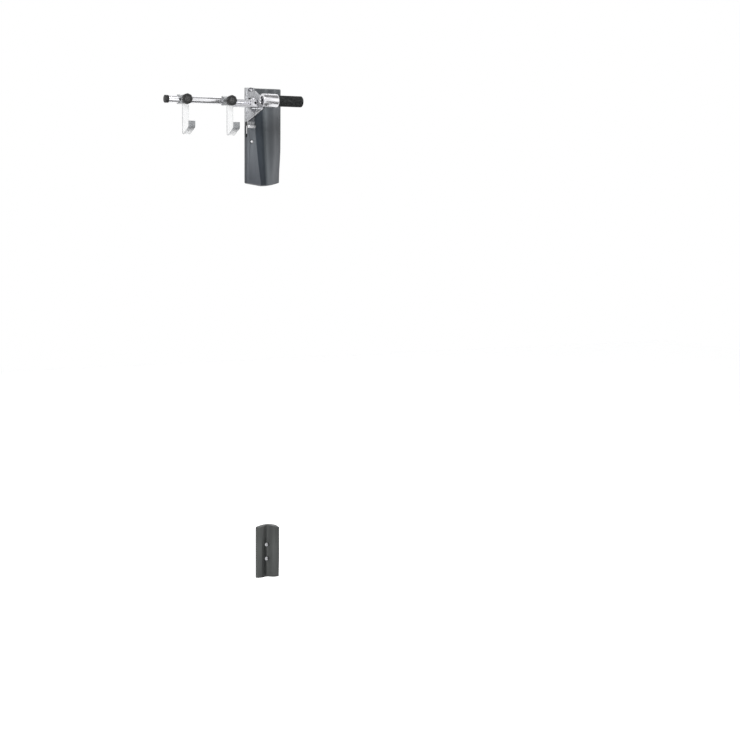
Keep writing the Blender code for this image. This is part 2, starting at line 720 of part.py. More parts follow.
def make_pivot():
    """Fixed bolt and nut in the bracket's lug. The bar's yoke turns on it, over a thin washer."""
    centre = (PIVOT_X, PIVOT_Y, 0.0)
    seat = YOKE_TOP + GAP
    top = seat + PIVOT_HEAD_HEIGHT
    profile = button_head(top, PIVOT_HEAD_RADIUS, PIVOT_HEAD_HEIGHT)
    profile += [(PIVOT_RADIUS, seat), (PIVOT_RADIUS, PIVOT_TIP), (0.0, PIVOT_TIP)]
    bolt = turned("pivot_bolt", profile, centre, "Z", STEEL, SMALL_STEPS)
    cut(bolt, hex_socket("pivot_bolt_socket", PIVOT_HEAD_RADIUS * HEAD_SOCKET,
                         top - PIVOT_HEAD_HEIGHT * HEAD_RIM, top + PAST, centre, "Z"))
    tube("pivot_washer", PIVOT_RADIUS + GAP, SWING_WASHER_RADIUS, LUG_TOP + GAP, LUG_TOP + GAP + SWING_WASHER,
         centre, "Z", BLACK, SMALL_STEPS)
    nut_top = LUG_TOP - LUG_THICK - GAP
    nut = rod("pivot_nut", NUT_RADIUS, nut_top - NUT_HEIGHT, nut_top, centre, "Z", STEEL, steps=6)
    cut(nut, ring_hole("pivot_nut_hole", PIVOT_RADIUS, PIVOT_TIP, 0.0, centre, "Z"))


# Accessory bar: yoke, set screw, tube and end cap


def make_yoke(bar_axis):
    """Knuckle round the pivot, a flat strip under the bar and a round neck that enters the tube."""
    outline = [(YOKE_LEFT, PIVOT_Y - YOKE_HALF)]
    outline += arc(PIVOT_X, PIVOT_Y, YOKE_HALF, -90, 90, 14)
    outline += [(YOKE_LEFT, PIVOT_Y + YOKE_HALF)]
    yoke = plate("bar_yoke", outline, YOKE_BOTTOM, YOKE_TOP, "XY", ALUMINIUM)
    relief = box("yoke_relief", (YOKE_LEFT - PAST, PIVOT_Y - REACH, STRIP_TOP),
                 (KNUCKLE_LEFT, PIVOT_Y + REACH, YOKE_TOP + PAST))
    neck = rod("yoke_neck", BAR_RADIUS - BAR_WALL - GAP, SPIGOT_LEFT, KNUCKLE_LEFT + PAST, bar_axis, "X",
               steps=SLEEVE_STEPS)
    rib = box("yoke_rib", (YOKE_LEFT + YOKE_EDGE, PIVOT_Y - NECK_RIB / 2, STRIP_TOP - YOKE_EDGE),
              (KNUCKLE_LEFT + PAST / 2, PIVOT_Y + NECK_RIB / 2, BAR_Z))
    pivot_hole = ring_hole("yoke_pivot_hole", PIVOT_RADIUS, YOKE_BOTTOM - PAST, YOKE_TOP + PAST,
                           (PIVOT_X, PIVOT_Y, 0.0), "Z")
    bevel(cut(yoke, relief), YOKE_EDGE)
    join(yoke, neck, rib)
    return cut(yoke, pivot_hole)


def make_bar():
    bar_axis = (0.0, PIVOT_Y, BAR_Z)
    yoke = make_yoke(bar_axis)
    grub_axis = (PIVOT_X, 0.0, GRUB_Z)
    cut(yoke, ring_hole("yoke_grub_hole", GRUB_RADIUS, -PIVOT_Y, -PIVOT_Y + YOKE_HALF + PAST,
                        grub_axis, "front"))
    grub = rod("yoke_grub_screw", GRUB_RADIUS, -GRUB_INNER_Y, -GRUB_OUTER_Y, grub_axis, "front",
               BLACK, SMALL_STEPS)
    cut(grub, hex_socket("grub_socket", GRUB_SOCKET, -GRUB_OUTER_Y - GRUB_RADIUS,
                         -GRUB_OUTER_Y + PAST, grub_axis, "front"))

    bar = tube("bar_tube", BAR_RADIUS - BAR_WALL, BAR_RADIUS, BAR_LEFT, BAR_RIGHT, bar_axis, "X", ALUMINIUM)
    cap_inner = BAR_RADIUS + GAP
    profile = [(0.0, BAR_LEFT - GAP), (cap_inner, BAR_LEFT - GAP), (cap_inner, CAP_RIGHT)]
    profile += [(CAP_RADIUS, CAP_RIGHT)]
    profile += arc(CAP_RADIUS - CAP_ROUND, CAP_LEFT + CAP_ROUND, CAP_ROUND, 0, -90, 3) + [(0.0, CAP_LEFT)]
    cap = turned("bar_end_cap", profile, bar_axis, "X", BLACK)
    return hang([yoke, grub, bar, cap], "bar_swing", (PIVOT_X, PIVOT_Y, BAR_Z))


# Clamps on the bar: a split liner slides, the hook's collar turns on it, the knob locks both


def rounded_path(points, radius, steps):
    """Polyline with each inner corner swapped for an arc."""
    path = [Vector(points[0])]
    for before, corner, after in zip(points, points[1:], points[2:]):
        corner = Vector(corner)
        inward = (Vector(before) - corner).normalized()
        onward = (Vector(after) - corner).normalized()
        half = inward.angle(onward) / 2
        centre = corner + (inward + onward).normalized() * (radius / math.sin(half))
        start = corner + inward * (radius / math.tan(half)) - centre
        end = corner + onward * (radius / math.tan(half)) - centre
        for i in range(steps + 1):
            path.append(centre + start.slerp(end, i / steps).normalized() * radius)
    path.append(Vector(points[-1]))
    return path


def strip_outline(path, thick):
    """Outline of a strip of one thickness along a path in a plane."""
    left = []
    right = []
    for i, point in enumerate(path):
        along = (path[min(i + 1, len(path) - 1)] - path[max(i - 1, 0)]).normalized()
        side = Vector((-along.y, along.x)) * thick / 2
        left.append(tuple(point + side))
        right.append(tuple(point - side))
    return left + right[::-1]


def make_clamp(side, bar_swing):
    x = CLAMP_X[side]
    bar_axis = (x, PIVOT_Y, BAR_Z)
    half_liner = LINER_LENGTH / 2
    liner = tube(side + "_clamp_liner", LINER_INNER, LINER_OUTER, -half_liner, half_liner, bar_axis, "X",
                 BLACK, SMALL_STEPS)
    cut(liner, box(side + "_liner_split", (x - LINER_LENGTH, PIVOT_Y, BAR_Z - LINER_SPLIT / 2),
                   (x + LINER_LENGTH, PIVOT_Y + 2 * LINER_OUTER, BAR_Z + LINER_SPLIT / 2)))

    hook = make_strap_hook(side, x, bar_axis)
    insert = tube(side + "_hook_insert", STUD_RADIUS + GAP, INSERT_RADIUS, -INSERT_BACK, -INSERT_FRONT,
                  (x, 0.0, BAR_Z), "front", STEEL, SMALL_STEPS)
    stud = rod(side + "_knob_stud", STUD_RADIUS, -STUD_TIP_Y, -STUD_END_Y, (x, 0.0, BAR_Z), "front",
               STEEL, SMALL_STEPS)
    knob = make_knob(side, x)
    slide = hang([liner], side + "_clamp_slide", bar_axis, bar_swing)
    swivel = hang([hook, insert], side + "_hook_swivel", bar_axis, slide)
    hang([stud, knob], side + "_knob_turn", (x, KNOB_BACK, BAR_Z), swivel)


def make_strap_hook(side, x, bar_axis):
    """Clear hook: collar round the bar, a block for the knob's thread and a bent strap."""
    half = STRAP_WIDTH / 2
    block = box(side + "_hook", (x - half, BLOCK_FRONT, BLOCK_BOTTOM), (x + half, BLOCK_BACK, BLOCK_TOP), CLEAR)
    bevel(block, BLOCK_EDGE)
    floor = HOOK_FLOOR_Z + STRAP_THICK / 2
    lip = HOOK_LIP_Y + STRAP_THICK / 2
    corners = [(STRAP_Y, BLOCK_BOTTOM + STRAP_THICK), (STRAP_Y, floor), (HOOK_FLOOR_Y, floor),
               (lip, HOOK_LIP_BOTTOM), (lip, HOOK_LIP_TOP)]
    outline = strip_outline(rounded_path(corners, HOOK_BEND, BEND_STEPS), STRAP_THICK)
    strap = plate(side + "_hook_strap", outline, x - half, x + half, "YZ")
    half_collar = COLLAR_LENGTH / 2
    collar = rod(side + "_hook_collar", COLLAR_OUTER, -half_collar, half_collar, bar_axis, "X")
    bore = rod(side + "_hook_bore", COLLAR_INNER, -COLLAR_LENGTH, COLLAR_LENGTH, bar_axis, "X")
    stud_hole = stepped_hole(side + "_stud_hole", STUD_RADIUS, INSERT_RADIUS, -PIVOT_Y, -INSERT_BACK - GAP,
                             -BLOCK_FRONT + PAST, (x, 0.0, BAR_Z))
    join(block, strap, collar)
    return cut(block, stud_hole, bore)


def make_knob(side, x):
    """Round head with shallow finger lobes, a dished face and a narrower hub."""
    outline = []
    points = KNOB_LOBES * KNOB_LOBE_POINTS
    for i in range(points):
        angle = math.tau * i / points
        radius = KNOB_RADIUS - KNOB_LOBE_DEPTH * (1 - math.cos(KNOB_LOBES * angle)) / 2
        outline.append((x + radius * math.cos(angle), BAR_Z + radius * math.sin(angle)))
    knob = bevel(plate(side + "_knob", outline, KNOB_FACE, KNOB_HEAD, "XZ", BLACK), KNOB_EDGE)
    axis = (x, 0.0, BAR_Z)
    hub = rod(side + "_knob_hub", KNOB_HUB_RADIUS, -KNOB_BACK, -KNOB_HEAD + KNOB_EDGE, axis, "front",
              steps=SMALL_STEPS)
    dish = rod(side + "_knob_dish", KNOB_DISH_RADIUS, -KNOB_FACE - KNOB_DISH_DEPTH, -KNOB_FACE + PAST, axis,
               "front", steps=SMALL_STEPS)
    bore = ring_hole(side + "_knob_bore", STUD_RADIUS, -KNOB_BACK - PAST, -STUD_END_Y + GAP, axis, "front")
    join(knob, hub)
    return cut(knob, dish, bore)


def main():
    make_hook()
    make_bracket()
    make_front_pad()
    make_rear_pad()
    make_pivot()
    bar_swing = make_bar()
    for side in CLAMP_X:
        make_clamp(side, bar_swing)


main()
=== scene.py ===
import math

import bmesh
import bpy
from mathutils import Matrix, Vector


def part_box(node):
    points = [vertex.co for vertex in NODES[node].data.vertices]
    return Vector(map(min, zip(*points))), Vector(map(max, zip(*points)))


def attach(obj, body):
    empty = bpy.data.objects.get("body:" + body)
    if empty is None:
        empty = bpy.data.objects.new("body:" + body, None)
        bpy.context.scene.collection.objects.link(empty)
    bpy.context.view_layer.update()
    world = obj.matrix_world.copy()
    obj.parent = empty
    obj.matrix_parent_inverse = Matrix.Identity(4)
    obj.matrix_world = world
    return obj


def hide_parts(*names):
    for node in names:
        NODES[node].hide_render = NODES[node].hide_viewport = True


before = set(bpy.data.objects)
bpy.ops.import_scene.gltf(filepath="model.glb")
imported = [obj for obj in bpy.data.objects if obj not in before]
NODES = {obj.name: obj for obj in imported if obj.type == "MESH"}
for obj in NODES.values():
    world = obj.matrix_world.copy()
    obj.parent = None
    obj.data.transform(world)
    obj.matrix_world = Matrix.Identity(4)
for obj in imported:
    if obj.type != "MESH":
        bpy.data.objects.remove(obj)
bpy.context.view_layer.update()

# Camera: where the photograph was taken from
CAMERA_PLACE = (-1.6305, -3.5140, -0.2115)
CAMERA_YAW = math.radians(-28.743)
CAMERA_PITCH = math.radians(6.313)
CAMERA_ROLL = math.radians(0.443)
CAMERA_LENS = 77.838
SENSOR = 36.0

# Studio
FLOOR_HEIGHT = -1.42
FLOOR_SIZE = 14.0
FLOOR_GLOW = 0.83
FLOOR_TONES = ((0.86, 0.86, 0.86), (0.89, 0.89, 0.89))
WHITE = (1.0, 1.0, 1.0)
STUDIO_GREY = (0.78, 0.79, 0.80)
STUDIO_STRENGTH = 0.12
FLAG_TONES = ((0.02, 0.02, 0.02), (0.04, 0.04, 0.04))

# Lamps: name, place, what it points at, size, watts
LAMPS = (
    ("key", (-1.50, -2.70, 2.20), (-0.08, -0.05, -0.15), 1.7, 138.0),
    ("fill", (2.2, -2.8, 0.6), (-0.05, -0.05, -0.2), 2.2, 9.0),
    ("low_fill", (-0.8, -2.6, -1.0), (0.0, -0.02, -1.0), 1.4, 6.0),
    ("side_fill", (-2.4, -1.6, -0.7), (-0.05, -0.06, -0.02), 1.2, 22.0),
    ("back_fill", (1.2, 2.6, 0.8), (-0.05, 0.0, -0.4), 2.2, 24.0),
)

# Flags, which give the polished tubes their dark bands: name, centre, what it faces, width, height
FLAGS = (
    ("flag_under_bar", (-0.145, -0.132, -0.128), (-0.145, -0.082, -0.0035), 0.30, 0.13),
    ("flag_over_boss", (0.078, -0.175, 0.220), (0.078, -0.110, 0.010), 0.20, 0.22),
    ("flag_over_bar", (-0.145, -0.134, 0.121), (-0.145, -0.082, -0.0035), 0.30, 0.05),
    ("flag_under_boss", (0.082, -0.260, -0.130), (-0.020, -0.105, -0.005), 0.20, 0.14),
)

# Colours, in linear light. A tint is multiplied with the colour under it, and a share goes from 0 to 1
NO_TINT = (1.0, 1.0, 1.0)
FULL_SHARE = (1.0, 1.0, 1.0)
NO_SHARE = (0.0, 0.0, 0.0)
SILVER_PALE = (0.58, 0.59, 0.61)
SILVER_DARK = (0.25, 0.255, 0.27)
# Painted shadow of the web, and painted shade on what faces down
SILVER_WEB_SHADOW = (0.40, 0.41, 0.43)
SILVER_UNDERSIDE_SHADE = (0.13, 0.135, 0.15)
ALUMINIUM = (0.80, 0.80, 0.82)
ALUMINIUM_DULL = (0.62, 0.62, 0.64)
YOKE = (0.58, 0.58, 0.60)
YOKE_DULL = (0.42, 0.42, 0.44)
STEEL = (0.46, 0.46, 0.47)
STEEL_DULL = (0.28, 0.28, 0.30)
STEEL_BLUED = (0.12, 0.12, 0.14)
# Near-white colours of the bright pieces: painted highlight
HIGHLIGHT_PALE = (0.90, 0.90, 0.91)
HIGHLIGHT_DULL = (0.80, 0.80, 0.82)
BEAD_HIGHLIGHT = (0.86, 0.86, 0.88)
BEAD_HIGHLIGHT_DULL = (0.70, 0.70, 0.72)
RUBBER = (0.014, 0.015, 0.015)
RUBBER_DUSTY = (0.045, 0.048, 0.048)
BLACK = (0.016, 0.016, 0.016)
BLACK_WORN = (0.045, 0.045, 0.045)
BLACK_RUBBED = (0.10, 0.10, 0.10)
CLEAR = (0.72, 0.73, 0.74)
CLEAR_GREY = (0.25, 0.26, 0.27)
HAZE = ((0.6, 0.6, 0.6), FULL_SHARE)
FLOW_TINTS = ((0.90, 0.90, 0.90), (1.06, 1.06, 1.06))

# Colours across the pads, from the left edge of the trough to the right one, darker with painted shade down
# its left slope, and their tints
SHADE_PLACES = (0.0, 0.035, 0.42, 0.54, 1.0)
PAD_TONES = ((0.180, 0.195, 0.212), (0.052, 0.063, 0.076), (0.052, 0.063, 0.076), (0.120, 0.134, 0.144),
             (0.120, 0.126, 0.134))
# Tints: painted shade low down and on the left side wall, and darker at the top
PAD_TINTS = {"top": (0.54, 0.54, 0.53), "low": (0.42, 0.42, 0.44), "side": (0.68, 0.68, 0.69)}
REAR_TONES = ((0.072, 0.076, 0.074), (0.030, 0.032, 0.031), (0.030, 0.032, 0.031), (0.058, 0.061, 0.059),
              (0.072, 0.076, 0.074))
REAR_TINTS = {"top": (0.80, 0.80, 0.80), "low": (0.80, 0.80, 0.80), "side": NO_TINT}

# Troughs of the pads: top, bottom, then the left and right edges at both
FRONT_TROUGH = (0.0340, -0.1905, (-0.0300, -0.0120), (0.0225, 0.0240))
REAR_TROUGH = (-1.0275, -1.1550, (-0.0090, -0.0090), (0.0225, 0.0225))

# Where the tones of the pads and their painted shade change: depths below the trough's top, share of its
# height, shares across it
SHADE_TOP = (0.016, 0.050)
LOW_START = 0.45
LOW_ACROSS = (0.1, 1.0)

# Where the painted shadow of the web lies on the silver paint
WEB_SHADOW_BESIDE = (-0.0422, -0.0405)
WEB_SHADOW_BELOW = (0.0240, 0.0180)
WEB_SHADOW_ABOVE = (-0.0475, -0.0450)

# Part of the surface normal at which a tone starts and is full
FACING_DOWN = (-0.2, -0.5)
FACING_FRONT = (0.05, -0.05)
FACING_LEFT = (-0.5, -0.85)

# Scale of the noise in each surface, and how far it is drawn out
SPECKLE_SCALE = 320.0
SPECKLE_SHEEN_SCALE = 260.0
HAMMER_SCALE = 380.0
SCRATCH_SCALE = 300.0
SCRATCH_STRETCH = (0.15, 4.0, 4.0)
DRAWN_SCALE = 420.0
DRAWN_STRETCH = (0.05, 5.0, 5.0)
CLOUD_SCALE = 900.0
DUST_SCALE = 240.0
RUBBER_GRAIN_SCALE = 2600.0
FLOW_SCALE = 16.0
FLOW_STRETCH = (2.0, 2.0, 0.5)
PAD_GRAIN_SCALE = 3200.0
WORN_SCALE = 500.0
RUBBED_SCALE = 700.0
BLACK_GRAIN_SCALE = 2800.0
HAZE_SCALE = 900.0
CLOTH_SCALE = 40.0
FLOOR_SCALE = 3.0
NOISE_RANGE = (0.3, 0.7)

# Clear hooks: strap, lip and collar. A cover is how much of the painted shade on an edge or the collar shows
STRAP_HALF = 0.00765
STRAP_EDGE = 0.0012
STRAP_FRONT = -0.1045
LIP_BACK = -0.1380
LEFT_EDGE_COVER = 0.72
RIGHT_EDGE_COVER = 0.30
COLLAR_COVER = 0.30
COLLAR_BLEND = 0.0040
COLLAR_FRONT = -0.0928
COLLAR_RADIUS = 0.0110
CLEAR_COVER = (0.18, 0.95)

# Bright strip at the ledge of the front pad, with its tail, a painted highlight, and black at the side,
# painted shade in the notch
LEDGE_HIGHLIGHT_PROFILE = ((-0.0128, -0.0538), (-0.0134, -0.0541), (-0.0134, -0.0599), (-0.0131, -0.0602),
                (-0.0100, -0.0600), (-0.0100, -0.0594), (-0.0128, -0.0594))
LEDGE_HIGHLIGHT_ENDS = (-0.0460, -0.0252)
TAIL_OUTLINE = ((-0.0492, -0.0560), (-0.0476, -0.0541), (-0.0478, -0.0740), (-0.0494, -0.0740))
TAIL_FACE = -0.0132
TAIL_THICKNESS = 0.0010
NOTCH_SHADE_OUTLINE = ((-0.0045, -0.0455), (-0.0123, -0.0455), (-0.0123, -0.0610), (-0.0108, -0.0820),
                (-0.0065, -0.0820))
NOTCH_SHADE_LEFT = -0.0490
NOTCH_SHADE_THICKNESS = 0.0020

# Dark fill of the web's slot: painted shade
SLOT_MIDDLE = (-0.0250, 0.0075)
SLOT_HALF = 0.0050
SLOT_RADIUS = 0.0018
SLOT_STEPS = 12
SLOT_FACES = (-0.0466, -0.0450)
PLATE_EDGE = 0.0003

# Grip sleeve
ROD_CLEAR = 0.0102
MOUTH_DEPTH = 0.0012
MOUTH_FLARE = 0.0004
MOUTH_CHAMFER = (0.0005, 0.0006)
GRIP_BLOCKS = 24
GRIP_PITCH = 0.0033
GRIP_HEIGHT = 0.0006
BLOCK_SHARES = (0.0, 0.04, 0.12, 0.20, 0.43, 0.66, 0.74, 0.82)
BLOCK_RISE = (0.04, 0.20)
BLOCK_FALL = (0.66, 0.82)
SLEEVE_BAND = 0.0075
BAND_RISE = 0.0005
BAND_CROWN = 0.0001
END_ROUND = 0.0028
END_STEPS = 6
END_FLAT = 0.45
END_MIDDLE = 0.10
END_DISH = 0.0003

# Bright pins of painted highlight in the screw heads, and black rings of painted shade round them. A pin has
# its radius, depth in the head and height over it
TURN_STEPS = 48
PIN_DOME = ((0.0, 1.0), (0.7, 0.7), (1.0, 0.2))
BRACKET_PIN = (0.0020, 0.0017, 0.0003)
PAD_PIN = (0.0012, 0.0011, 0.0002)
BRACKET_SHADE_RING = ((-0.0122, -0.0129), (0.0054, 0.0066))
PAD_SHADE_RING = ((-0.0112, -0.0119), (0.0034, 0.0046))

# Recess of the boss, with its black ring and socket fill of painted shade, measured from the face of the
# bolt's head
RECESS_RING = ((0.0004, 0.0024), (0.0081, 0.0098))
SOCKET_SHADE = (0.0010, 0.0040)
SOCKET_RADIUS = 0.0044
SOCKET_SIDES = 6

# Bright bead along the lower edge of the web: a painted highlight of that edge
BEAD_START = (-0.0464, -0.0150, -0.0437)
BEAD_END = (-0.0464, -0.0985, -0.0184)
BEAD_PROFILE = ((0.0, 0.0002), (0.0004, 0.0006), (0.0010, 0.0008), (0.0858, 0.0008), (0.0864, 0.0006),
                (0.0868, 0.0002))
BEAD_STEPS = 12

# Thread of the pivot bolt, below the nut. A thread has its radius, depth and pitch
THREAD_ROWS = 8
THREAD_STEPS = 32
THREAD_TAPER = 0.12
THREAD_POINT = 1.5
PIVOT = (-0.0620, -0.0820)
PIVOT_TIP = -0.0321
NUT_UNDERSIDE = -0.0262
PIVOT_THREAD = (0.00325, 0.0003, 0.0010)

# Relief in the dish of a knob
DISH_DEPTH = 0.0008
RELIEF_LIFT = 0.0001
RELIEF_ROOT = 0.0002
SWIRL_RADIUS = 0.0067
SWIRL_RINGS = 20
SWIRL_STEPS = 96
SWIRL_RIBS = 3
SWIRL_TWIST = 2.2
SWIRL_HEIGHT = 0.0009
HUB_EDGE = (0.0016, 0.0024)
RIB_EDGE = (0.55, 0.80)
RIB_START = (0.0016, 0.0026)
RIB_END = (0.0052, 0.0062)

# Grip pads of the collars
GRIP_PAD_OFFSET = 0.0080
GRIP_PAD_HALF = 0.0026
GRIP_PAD_PROUD = 0.0005
GRIP_PAD_SHOULDER = 0.6
GRIP_PAD_EDGE = 0.0003
GRIP_PAD_CORNER = 0.75
GRIP_PAD_STEPS = 32

WELD = 0.000001
SMOOTH_ANGLE = math.radians(32)
EDGE_SEGMENTS = 2


def lerp(low, high, share):
    """Value at a share of the way from low to high."""
    return low + (high - low) * share


# Materials


class Look:
    """One procedural material, with short calls for the nodes that it is made of."""

    def __init__(self, name, roughness, metallic=0.0, specular=0.5):
        self.material = bpy.data.materials.new(name)
        self.material.use_nodes = True
        self.tree = self.material.node_tree
        self.shader = self.tree.nodes["Principled BSDF"]
        self.shader.inputs["Roughness"].default_value = roughness
        self.shader.inputs["Metallic"].default_value = metallic
        self.shader.inputs["Specular IOR Level"].default_value = specular
        coordinates = self.tree.nodes.new("ShaderNodeTexCoord")
        self.place = coordinates.outputs["Object"]
        self.normal = coordinates.outputs["Normal"]
        self.last_bump = None

    def node(self, kind, **values):
        made = self.tree.nodes.new(kind)
        for name, value in values.items():
            setattr(made, name, value)
        return made

    def link(self, source, target):
        self.tree.links.new(source, target)

    def stretched(self, scale):
        mapping = self.node("ShaderNodeMapping")
        mapping.inputs["Scale"].default_value = scale
        self.link(self.place, mapping.inputs["Vector"])
        return mapping.outputs["Vector"]

    def noise(self, scale, detail=3.0, stretch=(1.0, 1.0, 1.0)):
        noise = self.node("ShaderNodeTexNoise")
        noise.inputs["Scale"].default_value = scale
        noise.inputs["Detail"].default_value = detail
        self.link(self.stretched(stretch), noise.inputs["Vector"])
        return noise.outputs["Fac"]

    def spread(self, source, axis, start, end):
        """Share from 0 to 1 between two values of one part of a vector."""
        parts = self.node("ShaderNodeSeparateXYZ")
        self.link(source, parts.inputs["Vector"])
        share = self.node("ShaderNodeMapRange")
        share.inputs["From Min"].default_value = start
        share.inputs["From Max"].default_value = end
        self.link(parts.outputs[axis], share.inputs["Value"])
        return share.outputs["Result"]

    def along(self, axis, start, end):
        """Share from 0 to 1 between two places along one axis of the object."""
        return self.spread(self.place, axis, start, end)

    def facing(self, axis, start, end):
        """Share from 0 to 1 between two values of the surface normal along one axis of the object."""
        return self.spread(self.normal, axis, start, end)

    def across(self, top, bottom, left, right):
        """Share from 0 at the left to 1 at the right of a trough whose edges move from top to bottom."""
        height = self.along("Z", top, bottom)
        bend = self.product(height, height)
        parts = self.node("ShaderNodeSeparateXYZ")
        self.link(self.place, parts.inputs["Vector"])
        spread = self.node("ShaderNodeMapRange")
        for name, ends in (("From Min", left), ("From Max", right)):
            edge = self.node("ShaderNodeMapRange")
            edge.inputs["To Min"].default_value = ends[0]
            edge.inputs["To Max"].default_value = ends[1]
            self.link(bend, edge.inputs["Value"])
            self.link(edge.outputs["Result"], spread.inputs[name])
        self.link(parts.outputs["X"], spread.inputs["Value"])
        return spread.outputs["Result"]

    def bands(self, source, stops):
        """Colours at several places of a share, each given as (place, colour)."""
        ramp = self.node("ShaderNodeValToRGB")
        elements = ramp.color_ramp.elements
        elements[1].position = 1.0
        for i, (place, colour) in enumerate(stops):
            if 0 < i < len(stops) - 1:
                elements.new(place)
            elements[i].color = (*colour, 1.0)
        self.link(source, ramp.inputs["Fac"])
        return ramp.outputs["Color"]

    def shaded(self, colour, shade):
        """One colour multiplied with the other."""
        mix = self.node("ShaderNodeMix", data_type="RGBA", blend_type="MULTIPLY")
        mix.inputs["Factor"].default_value = 1.0
        self.link(colour, mix.inputs["A"])
        self.link(shade, mix.inputs["B"])
        return mix.outputs["Result"]

    def mixed(self, share, colour, other):
        """A plain colour where the share is 0, and the other source where it is 1."""
        mix = self.node("ShaderNodeMix", data_type="RGBA")
        mix.inputs["A"].default_value = (*colour, 1.0)
        self.link(share, mix.inputs["Factor"])
        self.link(other, mix.inputs["B"])
        return mix.outputs["Result"]

    def largest(self, one, other):
        most = self.node("ShaderNodeMath", operation="MAXIMUM")
        self.link(one, most.inputs[0])
        self.link(other, most.inputs[1])
        return most.outputs["Value"]

    def product(self, source, factor):
        scaled = self.node("ShaderNodeMath", operation="MULTIPLY")
        self.link(source, scaled.inputs[0])
        if isinstance(factor, float):
            scaled.inputs[1].default_value = factor
        else:
            self.link(factor, scaled.inputs[1])
        return scaled.outputs["Value"]

    def ramp(self, source, low, high, low_at=0.35, high_at=0.65):
        ramp = self.node("ShaderNodeValToRGB")
        ramp.color_ramp.elements[0].position = low_at
        ramp.color_ramp.elements[1].position = high_at
        ramp.color_ramp.elements[0].color = (*low, 1.0)
        ramp.color_ramp.elements[1].color = (*high, 1.0)
        self.link(source, ramp.inputs["Fac"])
        return ramp.outputs["Color"]

    def fade(self, share, low, high):
        """From one colour to the other over the whole share."""
        return self.ramp(share, low, high, 0.0, 1.0)

    def colour(self, source):
        self.link(source, self.shader.inputs["Base Color"])

    def roughness(self, source, low, high):
        spread = self.node("ShaderNodeMapRange")
        spread.inputs["From Min"].default_value = NOISE_RANGE[0]
        spread.inputs["From Max"].default_value = NOISE_RANGE[1]
        spread.inputs["To Min"].default_value = low
        spread.inputs["To Max"].default_value = high
        self.link(source, spread.inputs["Value"])
        self.link(spread.outputs["Result"], self.shader.inputs["Roughness"])

    def bump(self, source, depth, strength=1.0):
        """Height in metres. Bumps stack: a later one lies on those before it."""
        bump = self.node("ShaderNodeBump")
        bump.inputs["Strength"].default_value = strength
        bump.inputs["Distance"].default_value = depth
        self.link(source, bump.inputs["Height"])
        if self.last_bump:
            self.link(self.last_bump, bump.inputs["Normal"])
        self.last_bump = bump.outputs["Normal"]
        self.link(self.last_bump, self.shader.inputs["Normal"])


def hammered_silver():
    """Speckled paint, with painted shadow of the web in the corner beside it and painted shade on what faces
    down.
    """
    look = Look("hammered_silver", roughness=0.38, metallic=0.12)
    speckle = look.ramp(look.noise(SPECKLE_SCALE), SILVER_DARK, SILVER_PALE, low_at=0.38, high_at=0.60)
    between = look.product(look.along("Z", *WEB_SHADOW_BELOW), look.along("Z", *WEB_SHADOW_ABOVE))
    # Painted shadow of the web on the bracket's face beside it
    corner = look.fade(look.product(look.along("X", *WEB_SHADOW_BESIDE), between), NO_TINT, SILVER_WEB_SHADOW)
    # Painted shade on what faces down
    under = look.fade(look.facing("Z", *FACING_DOWN), NO_TINT, SILVER_UNDERSIDE_SHADE)
    look.colour(look.shaded(look.shaded(speckle, corner), under))
    look.roughness(look.noise(SPECKLE_SHEEN_SCALE), low=0.30, high=0.48)
    look.bump(look.noise(HAMMER_SCALE, detail=2.0), depth=0.00035)
    return look.material


def polished_aluminium(name, dull, pale):
    """Bright metal with short scratches along X."""
    look = Look(name, roughness=0.24, metallic=0.85)
    scratches = look.noise(SCRATCH_SCALE, stretch=SCRATCH_STRETCH)
    look.colour(look.ramp(scratches, dull, pale))
    look.roughness(scratches, low=0.18, high=0.34)
    look.bump(scratches, depth=0.00002, strength=0.5)
    return look.material


def drawn_metal(name, dull, pale, roughness, metallic, sheen):
    """Metal with fine lines along X. Its sheen is the lowest and the highest roughness."""
    look = Look(name, roughness, metallic)
    drawn = look.noise(DRAWN_SCALE, stretch=DRAWN_STRETCH)
    look.colour(look.ramp(drawn, dull, pale))
    look.roughness(drawn, *sheen)
    look.bump(drawn, depth=0.00001, strength=0.4)
    return look.material


def clouded_steel(name, dull, pale, roughness, metallic, sheen):
    """Plated or blued steel with fine clouds. Its sheen is the lowest and the highest roughness."""
    look = Look(name, roughness, metallic)
    clouds = look.noise(CLOUD_SCALE, detail=4.0)
    look.colour(look.ramp(clouds, dull, pale))
    look.roughness(clouds, *sheen)
    look.bump(clouds, depth=0.00002, strength=0.5)
    return look.material


def black_rubber():
    """Matt rubber, greyer where dust lies in it."""
    look = Look("black_rubber", roughness=0.62, specular=0.12)
    dust = look.noise(DUST_SCALE, detail=5.0)
    look.colour(look.ramp(dust, RUBBER, RUBBER_DUSTY, low_at=0.42, high_at=0.72))
    look.roughness(dust, low=0.52, high=0.78)
    look.bump(look.noise(RUBBER_GRAIN_SCALE, detail=2.0), depth=0.00004, strength=0.6)
    return look.material


